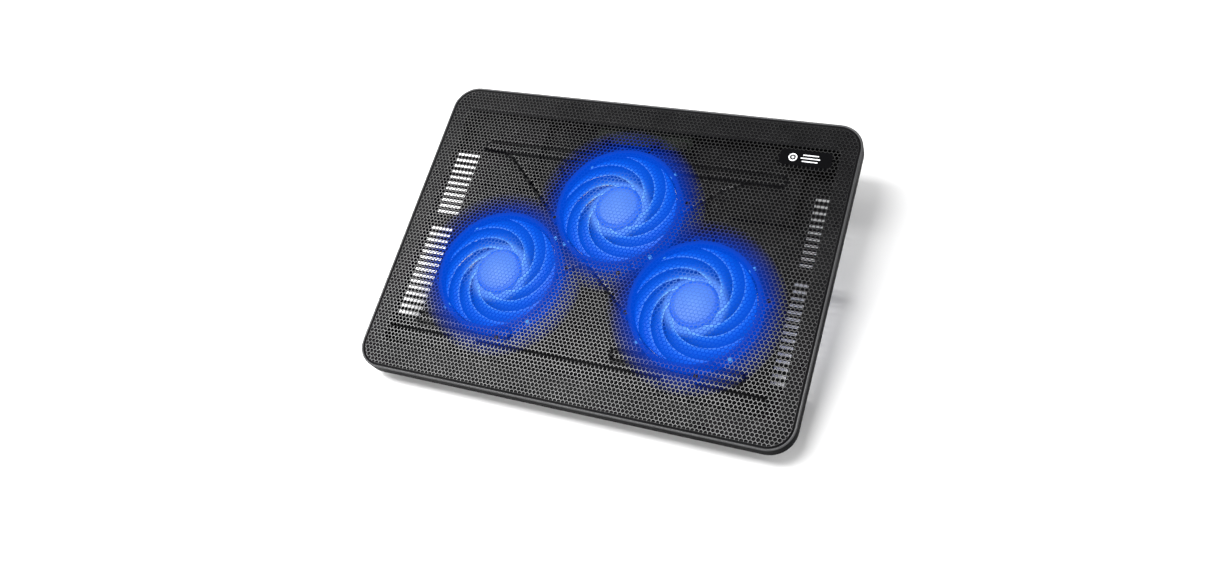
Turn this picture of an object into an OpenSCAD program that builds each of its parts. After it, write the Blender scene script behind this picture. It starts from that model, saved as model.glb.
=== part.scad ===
// Laptop cooling pad: perforated steel deck over three lit fans in a shallow plastic tray,
// two fold-out rear legs, and a two-socket power hub in the rear wall.
// Modules are drawn in the pad's own frame: X right, Y to the rear, Z out of the deck,
// origin at the middle of the rim's top plane. placed() then stands the pad on its feet and legs.

/* [Pad] */
// Width of the pad
pad_w = 380; // [360:1:400]
// Depth of the pad, front to rear
pad_d = 280; // [270:1:300]
// Radius of the four outer corners
corner_r = 22; // [18:1:26]
// Height of the upright rim wall
rim_h = 12; // [11.5:0.1:13]
// Height of the tapered tray below the rim
tray_h = 11; // [11:0.5:13]
// How far the tray's walls lean in from rim to underside
taper = 8; // [5:0.5:9]
// Thickness of the rim wall
rim_t = 1.8; // [1.6:0.1:2.2]
// Thickness of the tray's floor
floor_t = 2; // [1.6:0.1:2.4]
// Tilt of the pad when its legs are out
tilt = 12; // [8:0.5:14]

/* [Deck] */
// Gap between the rim and the steel deck
deck_gap = 1.2; // [0.8:0.1:1.6]
// Depth of the deck's face below the rim's top
deck_drop = 0.5; // [0.3:0.1:0.8]
// Thickness of the steel sheet
deck_t = 0.8; // [0.6:0.1:1]
// Pitch of the hexagonal holes
hole_pitch = 16; // [14:1:24]
// Width of the web left between two holes
hole_web = 3; // [2:0.5:5]
// Width of the ledge under the deck at the sides
ledge_side = 17; // [12:1:19]
// Width of the ledge under the deck at front and rear
ledge_end = 24; // [18:1:26]

/* [Fans] */
// Outer diameter of a fan's round frame
fan_size = 110; // [108.6:0.2:114]
// Thickness of a fan
fan_t = 15; // [15:0.5:15.5]
// Distance of the two front fans from the middle of the fan group
fan_side_x = 88.5; // [86:0.5:92]
// Offset of the fan group from the pad's middle plane
fan_shift_x = -3; // [-4:0.5:0]
// Position of the two front fans along the depth
fan_side_y = -33; // [-36:1:-30]
// Position of the middle fan along the depth
fan_mid_y = 42; // [40:0.5:42.5]
// Radius of an impeller's hub
hub_r = 20.6; // [19:0.1:22]
// Number of blades on an impeller
blade_count = 9; // [7:1:11]
// Angle that a blade sweeps back from root to tip
blade_sweep = 125; // [90:5:135]

/* [Legs] */
// Distance of a leg from the middle plane
leg_x = 120; // [112:1:124]
// Position of the leg's pivot along the depth
leg_y = 112; // [108:1:113]
// Width of a leg
leg_w = 44; // [36:1:48]
// Thickness of a leg
leg_t = 6; // [5:0.2:6.2]

/* [Vents] */
// Pitch of the side vent slots
vent_pitch = 6; // [5.5:0.1:6.5]
// Width of a vent slot
vent_w = 3.2; // [2.5:0.1:3.8]
// Length of a vent slot
vent_len = 23; // [16:1:24]
// Distance of the vent slots from the middle plane
vent_x = 169; // [168:0.5:170]

/* [Hidden] */

$fn = 48;
eps = 0.01;

// Levels of the pad, from the rim's top down
deck_top = -deck_drop;
deck_under = deck_top - deck_t;
under_z = -(rim_h + tray_h);
floor_z = under_z + floor_t;
ledge_t = 2;

// Fan levels and radii
fan_top = floor_z + fan_t;
bore_r = 52;
flange_t = 2.6;
ring_r = 54.2;
strut_t = 2;
blade_low = floor_z + 4.2;
hub_top = fan_top - 1.5;
hub_wall = 1.3;
hub_inner = hub_top - blade_low - hub_wall;
shaft_r = 1.5;
bearing_r = 3;
tube_r = 4.2;
running_gap = 0.05;
// Screw ears round each fan, turned clear of the neighbouring fans
ear_r = 59;
ear_w = 8;
ear_t = 7;
ear_angles = [15:90:285];
fans = [[fan_shift_x - fan_side_x, fan_side_y], [fan_shift_x, fan_mid_y], [fan_shift_x + fan_side_x, fan_side_y]];

// Feet: half-sunk rubber capsules
foot_r = 6;
foot_len = 36;
foot_z = under_z + 1;
foot_front = [140, -122];
foot_rear = [120, 125];

// Legs: the pivot sits in a pocket in the underside
pivot_z = -19.2;
barrel_r = 3.6;
pin_r = 1.5;
tip_r = 4;
pocket_roof = -14.6;
pocket_wall = 1.6;
stand_z = -(foot_front[1] * sin(tilt) + foot_z * cos(tilt) - foot_r);
leg_reach = (leg_y * sin(tilt) + pivot_z * cos(tilt) + stand_z - tip_r) / cos(tilt);
pocket_front = leg_y - leg_reach - tip_r - 1.5;
pocket_rear = leg_y + barrel_r + 0.4;

// Power hub in the rear wall
board_top = -10.4;
board_t = 1.6;
board_y = [104, 135];
board_w = 88;
usb_x = [-21, 0];
usb_w = 13.2;
usb_h = 5.8;
usb_d = 14;
switch_x = 25;
slider_w = 4.4;
slider_h = 2.6;
slider_travel = 3;
plug_x = [-34, 12, 38];

shell_bosses = [[-174, -124], [174, -124], [-174, 124], [174, 124], [-60, -128], [60, -128],
    [-80, 128], [80, 128], [-177, 11.5], [177, 11.5]];
board_posts = [[-38, 128], [38, 128]];
tab_x = [-120, -40, 40, 120];
tab_y = [-70, 50];

// Routes of the fan leads, from each fan's board to its plug on the hub board
wire_r = 0.8;
wire_z = floor_z + 2.8;
plug_z = board_top + 2.6;
route_left = [[-91.5, -17.6, wire_z], [-91.5, 0, wire_z], [-91.5, 22, wire_z], [-88, 32, wire_z],
    [-79, 43, wire_z], [-71, 58, wire_z], [-67, 76, wire_z], [-62, 92, wire_z],
    [-50, 100.5, -16], [-38, 101.5, -10.5], [-34, 102.6, plug_z], [-34, 103.9, plug_z]];
route_middle = [[-3, 57.4, wire_z], [-3, 78, wire_z], [-3, 97, wire_z], [0, 100.2, -17],
    [8, 101, -12.5], [12, 102.4, plug_z], [12, 103.9, plug_z]];
route_right = [[85.5, -17.6, wire_z], [85.5, 0, wire_z], [85.5, 22, wire_z], [83, 32, wire_z],
    [76, 43, wire_z], [70, 58, wire_z], [66, 76, wire_z], [61, 92, wire_z],
    [50, 100.5, -16], [42, 101.5, -10.5], [38, 102.6, plug_z], [38, 103.9, plug_z]];

// ---- helpers ----

// Stands the tilted pad on the table with the origin under the middle of its outline
module placed() {
    translate([0, -rim_h * sin(tilt) / 2, stand_z]) rotate([tilt, 0, 0]) children();
}

// Flat outline with true round corners
module round_rect(w, d, r) {
    square([w - 2 * r, d], center = true);
    square([w, d - 2 * r], center = true);
    for (x = [-1, 1], y = [-1, 1]) translate([x * (w / 2 - r), y * (d / 2 - r)]) circle(r);
}

module slab(w, d, r, z, h) {
    translate([0, 0, z]) linear_extrude(h) round_rect(w, d, r);
}

// Block with round corners whose sides lean in by inset at the bottom
module tapered_block(w, d, r, inset, z, h) {
    translate([0, 0, z]) {
        translate([0, d / 2 - r, 0]) rotate([90, 0, 0]) linear_extrude(d - 2 * r)
            polygon([[-w / 2 + inset, 0], [w / 2 - inset, 0], [w / 2, h], [-w / 2, h]]);
        translate([-w / 2 + r, 0, 0]) rotate([90, 0, 90]) linear_extrude(w - 2 * r)
            polygon([[-d / 2 + inset, 0], [d / 2 - inset, 0], [d / 2, h], [-d / 2, h]]);
        for (x = [-1, 1], y = [-1, 1])
            translate([x * (w / 2 - r), y * (d / 2 - r), 0]) cylinder(r1 = r - inset, r2 = r, h = h);
    }
}

module box_between(lo, hi) {
    translate(lo) cube(hi - lo);
}

module tube(r_out, r_in, z, h) {
    translate([0, 0, z]) difference() {
        cylinder(r = r_out, h = h);
        translate([0, 0, -1]) cylinder(r = r_in, h = h + 2);
    }
}

// Round screw: head below z, shank of length up from z
module screw(head_r, head_h, shank_r, z, length) {
    translate([0, 0, z - head_h]) cylinder(r = head_r, h = head_h);
    translate([0, 0, z - eps]) cylinder(r = shank_r, h = length);
}

function unit(v) = v / norm(v);
function blend_point(a, b, c, d, t) = 0.5 * ((2 * b) + (c - a) * t
    + (2 * a - 5 * b + 4 * c - d) * t * t + (3 * b - a - 3 * c + d) * t * t * t);
function smooth_path(p, n) = [for (i = [0:len(p) - 2], k = [0:n - 1])
    blend_point(p[max(i - 1, 0)], p[i], p[i + 1], p[min(i + 2, len(p) - 1)], k / n), p[len(p) - 1]];
function heading(p, i) = unit(p[min(i + 1, len(p) - 1)] - p[max(i - 1, 0)]);
function ring_points(p, i, r, sides) =
    let (t = heading(p, i), u = unit(cross(t, [0, 0, 1])), v = cross(u, t))
    [for (k = [0:sides - 1]) p[i] + r * (cos(360 * k / sides) * u + sin(360 * k / sides) * v)];

// Round lead swept along its route
module lead(route, steps, sides = 8) {
    path = smooth_path(route, steps);
    last = len(path) - 1;
    points = [for (i = [0:last]) each ring_points(path, i, wire_r, sides)];
    walls = [for (i = [0:last - 1], k = [0:sides - 1]) let (n = (k + 1) % sides)
        [i * sides + k, (i + 1) * sides + k, (i + 1) * sides + n, i * sides + n]];
    caps = [[for (k = [0:sides - 1]) k], [for (k = [sides - 1:-1:0]) last * sides + k]];
    polyhedron(points, concat(walls, caps));
}

// Puts its children at the screw ears of one fan
module at_fan_ears() {
    for (a = ear_angles) rotate(a) translate([ear_r, 0, 0]) children();
}

module at_ears() {
    for (f = fans) translate([f[0], f[1], 0]) at_fan_ears() children();
}

// ---- casing ----

// Ring-and-spoke intake openings of one fan
module intake_openings() {
    difference() {
        circle(50);
        circle(14);
        for (r = [20, 30, 40]) difference() {
            circle(r + 1.2);
            circle(r - 1.2);
        }
        for (a = [0:60:300]) rotate(a + 30) translate([0, -1.3]) square([52, 2.6]);
    }
}

module vent_row(first_y, count) {
    for (side = [-1, 1], i = [0:count - 1])
        translate([side * vent_x, first_y + i * vent_pitch, floor_z - 1])
            cube([vent_len, vent_w, 9], center = true);
}

module leg_pocket_roof() {
    box_between([leg_x - leg_w / 2 - 2.2 - pocket_wall, pocket_front - pocket_wall, under_z + eps],
        [leg_x + leg_w / 2 + 2.2 + pocket_wall, pocket_rear + pocket_wall, pocket_roof + pocket_wall]);
}

module leg_pocket_space() {
    box_between([leg_x - leg_w / 2 - 0.4, pocket_front, under_z - 1],
        [leg_x + leg_w / 2 + 0.4, pocket_rear, pocket_roof]);
    translate([leg_x - leg_w / 2 - 3, leg_y, pivot_z]) rotate([0, 90, 0])
        cylinder(r = pin_r, h = leg_w + 6);
}

module bottom_shell() {
    color("#202124") placed() difference() {
        union() {
            difference() {
                tapered_block(pad_w, pad_d, corner_r, taper, under_z, tray_h);
                tapered_block(pad_w - 2 * rim_t, pad_d - 2 * rim_t, corner_r - rim_t,
                    taper * (tray_h - floor_t) / tray_h, floor_z, tray_h - floor_t + eps);
            }
            for (side = [0, 1]) mirror([side, 0, 0]) leg_pocket_roof();
            for (p = shell_bosses) translate([p[0], p[1], floor_z - eps])
                cylinder(r = 5, h = tray_h - floor_t - 0.2);
            for (p = board_posts) translate([p[0], p[1], floor_z - eps])
                cylinder(r = 3.2, h = board_top - board_t - floor_z + eps);
        }
        for (f = fans) translate([f[0], f[1], under_z - 1]) linear_extrude(floor_t + 2)
            intake_openings();
        at_ears() translate([0, 0, under_z - 1]) cylinder(r = 2.2, h = floor_t + 2);
        vent_row(-81, 15);
        vent_row(20, 11);
        for (side = [0, 1]) mirror([side, 0, 0]) leg_pocket_space();
        for (p = shell_bosses) translate([p[0], p[1], under_z - 1]) {
            cylinder(r = 3.8, h = 6);
            cylinder(r = 1.8, h = tray_h + 2);
        }
        for (p = board_posts) translate([p[0], p[1], floor_z + 2]) cylinder(r = 1.2, h = 12);
    }
}

module top_frame() {
    inner_w = pad_w - 2 * rim_t;
    inner_d = pad_d - 2 * rim_t;
    ledge_top = deck_under;
    color("#26272a") placed() difference() {
        union() {
            difference() {
                slab(pad_w, pad_d, corner_r, -rim_h, rim_h);
                slab(inner_w, inner_d, corner_r - rim_t, -rim_h - 1, rim_h + 2);
            }
            difference() {
                slab(inner_w + eps, inner_d + eps, corner_r - rim_t, ledge_top - ledge_t, ledge_t);
                slab(pad_w - 2 * ledge_side, pad_d - 2 * ledge_end, 5, ledge_top - ledge_t - 1, ledge_t + 2);
            }
            for (p = shell_bosses) translate([p[0], p[1], -rim_h])
                cylinder(r = 5, h = rim_h + ledge_top - ledge_t + eps);
        }
        for (p = shell_bosses) translate([p[0], p[1], -rim_h - 1]) cylinder(r = 1.5, h = 8);
        for (x = usb_x) box_between([x - usb_w / 2 - 0.3, pad_d / 2 - 4, board_top - 0.1],
            [x + usb_w / 2 + 0.3, pad_d / 2 + 1, board_top + usb_h + 0.3]);
        box_between([switch_x - slider_w / 2 - 0.4, pad_d / 2 - 4, board_top + 1.3],
            [switch_x + slider_w / 2 + slider_travel + 0.4, pad_d / 2 + 1, board_top + 1.3 + slider_h + 0.8]);
        for (x = tab_x, y = [-1, 1]) translate([x, y * (pad_d / 2 - 8), ledge_top - 1])
            cube([6.6, deck_t + 0.6, 6], center = true);
        for (x = [-1, 1], y = tab_y) translate([x * (pad_w / 2 - 8), y, ledge_top - 1])
            cube([deck_t + 0.6, 6.6, 6], center = true);
    }
}

// ---- deck ----

module deck_holes() {
    row = hole_pitch * sqrt(3) / 2;
    nx = floor((pad_w / 2 - 14) / hole_pitch);
    ny = floor((pad_d / 2 - 16) / row);
    for (j = [-ny:ny], i = [-nx:nx]) {
        x = (i + (abs(j) % 2 == 1 ? 0.5 : 0)) * hole_pitch;
        near_badge = abs(x - badge_pos[0]) < 32 && abs(j * row - badge_pos[1]) < 16;
        if (!near_badge && abs(x) < pad_w / 2 - 14)
            translate([x, j * row]) rotate(30) circle(r = (hole_pitch - hole_web) / sqrt(3), $fn = 6);
    }
}

badge_pos = [146, 105];
badge_w = 43.5;
badge_d = 14.5;

module mesh_panel() {
    inset = rim_t + deck_gap;
    color("#2e2f31") placed() {
        translate([0, 0, deck_under]) linear_extrude(deck_t) difference() {
            round_rect(pad_w - 2 * inset, pad_d - 2 * inset, corner_r - inset);
            deck_holes();
            translate(badge_pos) round_rect(badge_w + 0.6, badge_d + 0.6, 4.3);
        }
        for (x = tab_x, y = [-1, 1]) translate([x, y * (pad_d / 2 - 8), deck_under - 2])
            cube([6, deck_t, 4 + eps], center = true);
        for (x = [-1, 1], y = tab_y) translate([x * (pad_w / 2 - 8), y, deck_under - 2])
            cube([deck_t, 6, 4 + eps], center = true);
    }
}

module badge_plate() {
    color("#0b0b0c") placed() translate([badge_pos[0], badge_pos[1], 0]) {
        slab(badge_w, badge_d, 4, deck_under - eps, deck_t + 0.3);
        slab(badge_w + 3, badge_d + 3, 5, deck_under - 0.6, 0.6);
    }
}

// Plain air-flow sign: a ring and three bars
module badge_symbol() {
    color("#e8e9ea") placed() translate([badge_pos[0], badge_pos[1], deck_top + 0.3]) {
        translate([-10.5, 0, 0]) tube(3.6, 2.5, 0, 0.15);
        translate([-10.5, 0, 0]) cylinder(r = 1.1, h = 0.15);
        for (k = [-1:1]) translate([-4 + abs(k) * 1.5, k * 2.9 - 0.5, 0])
            cube([16 - abs(k) * 3, 1, 0.15]);
    }
}

// ---- feet and legs ----

module foot(x, y) {
    color("#141414") placed() intersection() {
        translate([x, y, foot_z]) {
            rotate([0, 90, 0]) cylinder(r = foot_r, h = foot_len, center = true);
            for (s = [-1, 1]) translate([s * foot_len / 2, 0, 0]) sphere(foot_r);
        }
        translate([x, y, under_z - 20]) cube([80, 40, 40], center = true);
    }
}

// A leg hangs straight out of the underside from its pivot
module leg(x) {
    back = leg_t - (pocket_rear - leg_y - 0.3);
    color("#242528") placed() translate([x, leg_y, pivot_z]) difference() {
        union() {
            rotate([0, 90, 0]) cylinder(r = barrel_r, h = leg_w, center = true);
            translate([-leg_w / 2, -back, -leg_reach + 1]) cube([leg_w, leg_t, leg_reach - 1]);
        }
        rotate([0, 90, 0]) cylinder(r = pin_r + running_gap, h = leg_w + 2, center = true);
        for (side = [-1, 1]) translate([side * leg_w / 4, -back - 1, -leg_reach / 2 - 3])
            cube([leg_w / 2 - 6, 5, leg_reach - 20], center = true);
        translate([0, 0.7, -leg_reach + 1.5]) cube([leg_w - 4, 2.4, 5], center = true);
    }
}

// Rubber roller-shaped sole at the leg's end, with a tongue held in the leg's slot
module leg_tip(x) {
    color("#151515") placed() translate([x, leg_y, pivot_z - leg_reach]) {
        difference() {
            rotate([0, 90, 0]) cylinder(r = tip_r, h = leg_w, center = true);
            translate([0, 0, 6]) cube([leg_w + 2, 20, 10], center = true);
        }
        translate([0, 0.7, 1.9]) cube([leg_w - 4.4, 2, 2.4], center = true);
    }
}

module leg_pin(x) {
    color("#9a9ca0") placed() translate([x, leg_y, pivot_z]) rotate([0, 90, 0])
        cylinder(r = pin_r, h = leg_w + 4, center = true);
}

// ---- power hub ----

module hub_board() {
    color("#141715") placed() difference() {
        box_between([-board_w / 2, board_y[0], board_top - board_t], [board_w / 2, board_y[1], board_top]);
        for (p = board_posts) translate([p[0], p[1], board_top - 5]) cylinder(r = 1.4, h = 10);
    }
}

module usb_socket(x) {
    wall = 0.4;
    color("#b9bcc0") placed() translate([x, pad_d / 2 - 0.4 - usb_d, board_top]) difference() {
        translate([-usb_w / 2, 0, 0]) cube([usb_w, usb_d, usb_h]);
        translate([-usb_w / 2 + wall, wall, wall]) cube([usb_w - 2 * wall, usb_d, usb_h - 2 * wall]);
    }
}

module usb_tongues() {
    color("#e9e9ea") placed() for (x = usb_x)
        translate([x - 5.6, pad_d / 2 - 0.4 - usb_d + 0.4, board_top + 3]) cube([11.2, usb_d - 2, 1.8]);
}

module switch_body() {
    color("#8d8f93") placed() difference() {
        box_between([switch_x - 5, 130.5, board_top], [switch_x + 8, 136.5, board_top + 5.4]);
        box_between([switch_x - slider_w / 2 - 0.3, 132, board_top + 1.4],
            [switch_x + slider_w / 2 + slider_travel + 0.3, 137, board_top + 1.4 + slider_h + 0.6]);
    }
}

module power_slider() {
    color("#d8d9db") placed() {
        box_between([switch_x - slider_w / 2, 132.3, board_top + 1.7],
            [switch_x + slider_w / 2, 140, board_top + 1.7 + slider_h]);
        for (k = [-1:1]) translate([switch_x + k * 1.2, 140, board_top + 1.7 + slider_h / 2])
            cube([0.6, 0.8, slider_h - 0.4], center = true);
    }
}

module lead_plugs() {
    color("#1c1c1d") placed() for (x = plug_x)
        box_between([x - 3.5, 104, board_top], [x + 3.5, 110, board_top + 5]);
}

// ---- fasteners ----

module fan_screws() {
    color("#2a2a2c") placed() at_ears() screw(3.6, 1.6, 2, under_z, floor_t + ear_t);
}

module shell_screws() {
    color("#2a2a2c") placed() for (p = shell_bosses) translate([p[0], p[1], 0])
        screw(3.4, 1.8, 1.45, under_z + 5, 10);
}

module board_screws() {
    color("#b9bcc0") placed() for (p = board_posts) translate([p[0], p[1], board_top])
        mirror([0, 0, 1]) screw(2.4, 1.2, 1.15, 0, 7);
}

// ---- fans ----

module fan_frame(i) {
    color("#1a1b1d") placed() translate([fans[i][0], fans[i][1], 0]) difference() {
        union() {
            difference() {
                union() {
                    translate([0, 0, floor_z]) cylinder(r = ring_r, h = fan_t);
                    for (z = [floor_z, fan_top - flange_t]) translate([0, 0, z])
                        cylinder(r = fan_size / 2, h = flange_t);
                    at_fan_ears() translate([0, 0, floor_z]) {
                        cylinder(r = ear_w / 2, h = ear_t);
                        translate([ring_r - ear_r - 1, -ear_w / 2, 0])
                            cube([ear_r - ring_r + 1, ear_w, ear_t]);
                    }
                }
                translate([0, 0, floor_z - 1]) cylinder(r = bore_r, h = fan_t + 2);
            }
            translate([0, 0, floor_z]) cylinder(r = 19, h = strut_t - 0.4);
            for (a = [0:90:270]) rotate(a) translate([10, -2, floor_z]) cube([43, 4, strut_t]);
            translate([0, 0, floor_z]) cylinder(r = tube_r, h = 10.5);
        }
        translate([0, 0, floor_z + 1]) cylinder(r = bearing_r, h = fan_t);
        at_fan_ears() translate([0, 0, floor_z - 1]) cylinder(r = 2.05, h = ear_t + 2);
        translate([-1.3, 50, wire_z - 1.1]) cube([2.6, 8, 2.6]);
        for (a = [45:90:315]) rotate(a) translate([50, 0, floor_z + 9]) rotate([0, 90, 0])
            cylinder(r = 1.5, h = 8);
    }
}

module bearing(i) {
    color("#c79a4b") placed() translate([fans[i][0], fans[i][1], 0])
        tube(bearing_r, shaft_r + running_gap, floor_z + 1, 9.5);
}

module stator_core(i) {
    color("#a7a9ac") placed() translate([fans[i][0], fans[i][1], floor_z + 4.4]) difference() {
        union() {
            cylinder(r = 7.5, h = 4);
            for (a = [0:90:270]) rotate(a) {
                translate([0, -2, 0]) cube([14, 4, 4]);
                intersection() {
                    tube(16.2, 13.6, 0, 4);
                    translate([8, -8.5, 0]) cube([10, 17, 4]);
                }
            }
        }
        translate([0, 0, -1]) cylinder(r = tube_r, h = 6);
    }
}

module stator_coils(i) {
    color("#b5652b") placed() translate([fans[i][0], fans[i][1], floor_z + 4.4])
        for (a = [0:90:270]) rotate(a) difference() {
            translate([8, -4.2, -1.2]) cube([5, 8.4, 6.4]);
            translate([7, -2, 0]) cube([8, 4, 4]);
        }
}

module fan_board(i) {
    color("#161a17") placed() translate([fans[i][0], fans[i][1], 0])
        tube(15, tube_r, floor_z + strut_t, 1);
}

module fan_leds(i) {
    color("#cfe0ff") placed() translate([fans[i][0], fans[i][1], floor_z + 9])
        for (a = [45:90:315]) rotate(a) translate([51.6, 0, 0]) rotate([0, 90, 0])
            cylinder(r = 1.5, h = 5.6);
}

// Centre line of a blade: the radius grows while the angle turns back
function blade_point(t) = let (r = hub_r - 0.8 + (50.4 - hub_r + 0.8) * t, a = blade_sweep * t)
    [r * cos(a), r * sin(a)];

module blade_outline() {
    n = 7;
    thick = 1.1;
    side = [for (k = [0:n]) let (p = blade_point(k / n), q = blade_point(min(k + 1, n) / n),
        o = blade_point(min(k, n - 1) / n), d = unit(k < n ? q - p : p - o))
        [p, [-d[1], d[0]] * thick / 2]];
    polygon(concat([for (s = side) s[0] + s[1]], [for (k = [n:-1:0]) side[k][0] - side[k][1]]));
}

module impeller(i) {
    color("#2f6bff") placed() translate([fans[i][0], fans[i][1], 0]) {
        difference() {
            union() {
                difference() {
                    translate([0, 0, blade_low]) cylinder(r = hub_r, h = hub_top - blade_low);
                    translate([0, 0, blade_low - 1]) cylinder(r = hub_r - hub_wall, h = hub_inner + 1);
                }
                translate([0, 0, hub_top - hub_wall - 1.4]) cylinder(r = 3.2, h = 2);
            }
            translate([0, 0, hub_top - 5]) cylinder(r = shaft_r, h = 4.3);
        }
        translate([0, 0, blade_low + 0.4]) linear_extrude(hub_top - blade_low - 1, twist = 14, slices = 2)
            for (a = [0:360 / blade_count:359]) rotate(a) blade_outline();
    }
}

module magnet_ring(i) {
    color("#4a4b4e") placed() translate([fans[i][0], fans[i][1], 0])
        tube(hub_r - hub_wall - running_gap, 16.9, blade_low + 0.5, 6.6);
}

module fan_shaft(i) {
    color("#c9ccd1") placed() translate([fans[i][0], fans[i][1], floor_z + 1.4])
        cylinder(r = shaft_r, h = hub_top - 0.7 - floor_z - 1.4);
}

module fan_lead(i) {
    routes = [route_left, route_middle, route_right];
    color("#101114") placed() lead(routes[i], 3);
}

bottom_shell();
top_frame();
mesh_panel();
badge_plate();
badge_symbol();
foot(-foot_front[0], foot_front[1]);  // foot_front_left
foot(foot_front[0], foot_front[1]);  // foot_front_right
foot(-foot_rear[0], foot_rear[1]);  // foot_rear_left
foot(foot_rear[0], foot_rear[1]);  // foot_rear_right
leg(-leg_x);  // leg_left
leg(leg_x);  // leg_right
leg_tip(-leg_x);  // leg_tip_left
leg_tip(leg_x);  // leg_tip_right
leg_pin(-leg_x);  // leg_pin_left
leg_pin(leg_x);  // leg_pin_right
hub_board();
usb_socket(usb_x[0]);  // usb_socket_left
usb_socket(usb_x[1]);  // usb_socket_right
usb_tongues();
switch_body();
power_slider();
lead_plugs();
fan_screws();
shell_screws();
board_screws();
fan_frame(0);  // fan_frame_left
fan_frame(1);  // fan_frame_middle
fan_frame(2);  // fan_frame_right
bearing(0);  // bearing_left
bearing(1);  // bearing_middle
bearing(2);  // bearing_right
stator_core(0);  // stator_core_left
stator_core(1);  // stator_core_middle
stator_core(2);  // stator_core_right
stator_coils(0);  // stator_coils_left
stator_coils(1);  // stator_coils_middle
stator_coils(2);  // stator_coils_right
fan_board(0);  // fan_board_left
fan_board(1);  // fan_board_middle
fan_board(2);  // fan_board_right
fan_leds(0);  // fan_leds_left
fan_leds(1);  // fan_leds_middle
fan_leds(2);  // fan_leds_right
impeller(0);  // impeller_left
impeller(1);  // impeller_middle
impeller(2);  // impeller_right
magnet_ring(0);  // magnet_ring_left
magnet_ring(1);  // magnet_ring_middle
magnet_ring(2);  // magnet_ring_right
fan_shaft(0);  // fan_shaft_left
fan_shaft(1);  // fan_shaft_middle
fan_shaft(2);  // fan_shaft_right
fan_lead(0);  // fan_lead_left
fan_lead(1);  // fan_lead_middle
fan_lead(2);  // fan_lead_right
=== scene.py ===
"""Laptop cooling pad: the visual model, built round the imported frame, in metres."""
import math

import bmesh
import bpy
from mathutils import Matrix, Vector


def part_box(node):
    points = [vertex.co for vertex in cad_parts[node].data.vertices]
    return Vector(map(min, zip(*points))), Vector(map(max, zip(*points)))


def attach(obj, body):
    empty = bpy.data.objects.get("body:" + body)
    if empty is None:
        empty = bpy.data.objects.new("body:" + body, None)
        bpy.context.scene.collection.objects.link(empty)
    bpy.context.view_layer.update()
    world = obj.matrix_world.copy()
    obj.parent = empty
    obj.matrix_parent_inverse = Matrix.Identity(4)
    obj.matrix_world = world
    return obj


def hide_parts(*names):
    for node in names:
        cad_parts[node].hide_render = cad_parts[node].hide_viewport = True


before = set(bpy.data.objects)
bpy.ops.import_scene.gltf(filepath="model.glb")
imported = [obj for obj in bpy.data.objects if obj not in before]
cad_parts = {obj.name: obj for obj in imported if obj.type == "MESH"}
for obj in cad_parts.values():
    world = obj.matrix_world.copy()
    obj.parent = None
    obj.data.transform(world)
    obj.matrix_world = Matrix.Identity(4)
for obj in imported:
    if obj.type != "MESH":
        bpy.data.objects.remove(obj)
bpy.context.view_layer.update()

MM = 0.001
SIDES = ("left", "middle", "right")

# ---------------------------------------------------------------- the pad's own frame
# X right, Y to the rear, Z out of the deck, origin at the middle of the rim's top plane.
TILT = math.radians(12.0)
PAD_D = 280.0
rim_low, rim_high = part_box("top_frame")
PAD_W = (rim_high.x - rim_low.x) / MM
PAD = Matrix.Translation((
    0.0,
    rim_low.y + PAD_D / 2 * MM * math.cos(TILT),
    rim_high.z - PAD_D / 2 * MM * math.sin(TILT),
)) @ Matrix.Rotation(TILT, 4, "X")
PAD_BACK = PAD.inverted()

# Levels and sizes in millimetres, in the pad's frame
CORNER_R = 22.0
DECK_TOP = -0.5
DECK_T = 0.8
DECK_INSET = 3.0
LEDGE_SIDE = 17.0
LEDGE_END = 24.0
TAB_INSET = 8.0
TAB_LONG = 6.0
TAB_THIN = 0.8
TAB_DEEP = 4.0
HOLE_PITCH = 3.486
HOLE_WEB = 0.50
HEM_WIDE = 1.4
SHEET_INSET = DECK_INSET + 0.6
BLADE_LOW = -16.8
HUB_TOP = -7.5
HUB_R = 20.6
BLADE_TIP = 50.4
BLADES = 9
BLADE_MIDDLE = -12.3
BLADE_PITCH = 7.6
BLADE_UNTWIST = 1.8
BLADE_CAMBER = 0.8
BLADE_THICK = 0.9
BLADE_SWEEP = 112.0
BLADE_CHORD = 53.0


def pad_centre(node):
    """Middle of a CAD node's box, in the pad's frame, in millimetres."""
    low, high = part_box(node)
    return (PAD_BACK @ ((low + high) / 2)) / MM


FANS = {side: pad_centre("bearing_" + side).xy for side in SIDES}
BADGE = pad_centre("badge_plate").xy
BADGE_CLEAR = (21.0, 6.6)


# ---------------------------------------------------------------- camera and light
FADE_HEIGHTS = (0.35, 0.75)


def look(obj, eye, target, roll=0.0):
    """Places obj at eye, looking at target, turned by roll about its own line of sight."""
    turn = (target - eye).to_track_quat("-Z", "Y").to_matrix().to_4x4()
    obj.matrix_world = Matrix.Translation(eye) @ turn @ Matrix.Rotation(roll, 4, "Z")


def add_camera():
    """Camera above the front right corner, looking down at the deck."""
    data = bpy.data.cameras.new("camera")
    data.sensor_width = 36.0
    data.lens = 31.5
    camera = bpy.data.objects.new("camera", data)
    bpy.context.collection.objects.link(camera)
    eye = PAD @ Vector((0.333, -0.320, 0.767))
    aim = PAD @ Vector((0.0172, -0.0280, 0.0))
    look(camera, eye, aim, math.radians(-19.6))
    bpy.context.scene.camera = camera


def add_area(name, eye, target, size, power):
    """White rectangular lamp at eye, facing target."""
    data = bpy.data.lights.new(name, "AREA")
    data.shape = "RECTANGLE"
    data.size, data.size_y = size
    data.energy = power
    lamp = bpy.data.objects.new(name, data)
    bpy.context.collection.objects.link(lamp)
    look(lamp, Vector(eye), Vector(target))


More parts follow.
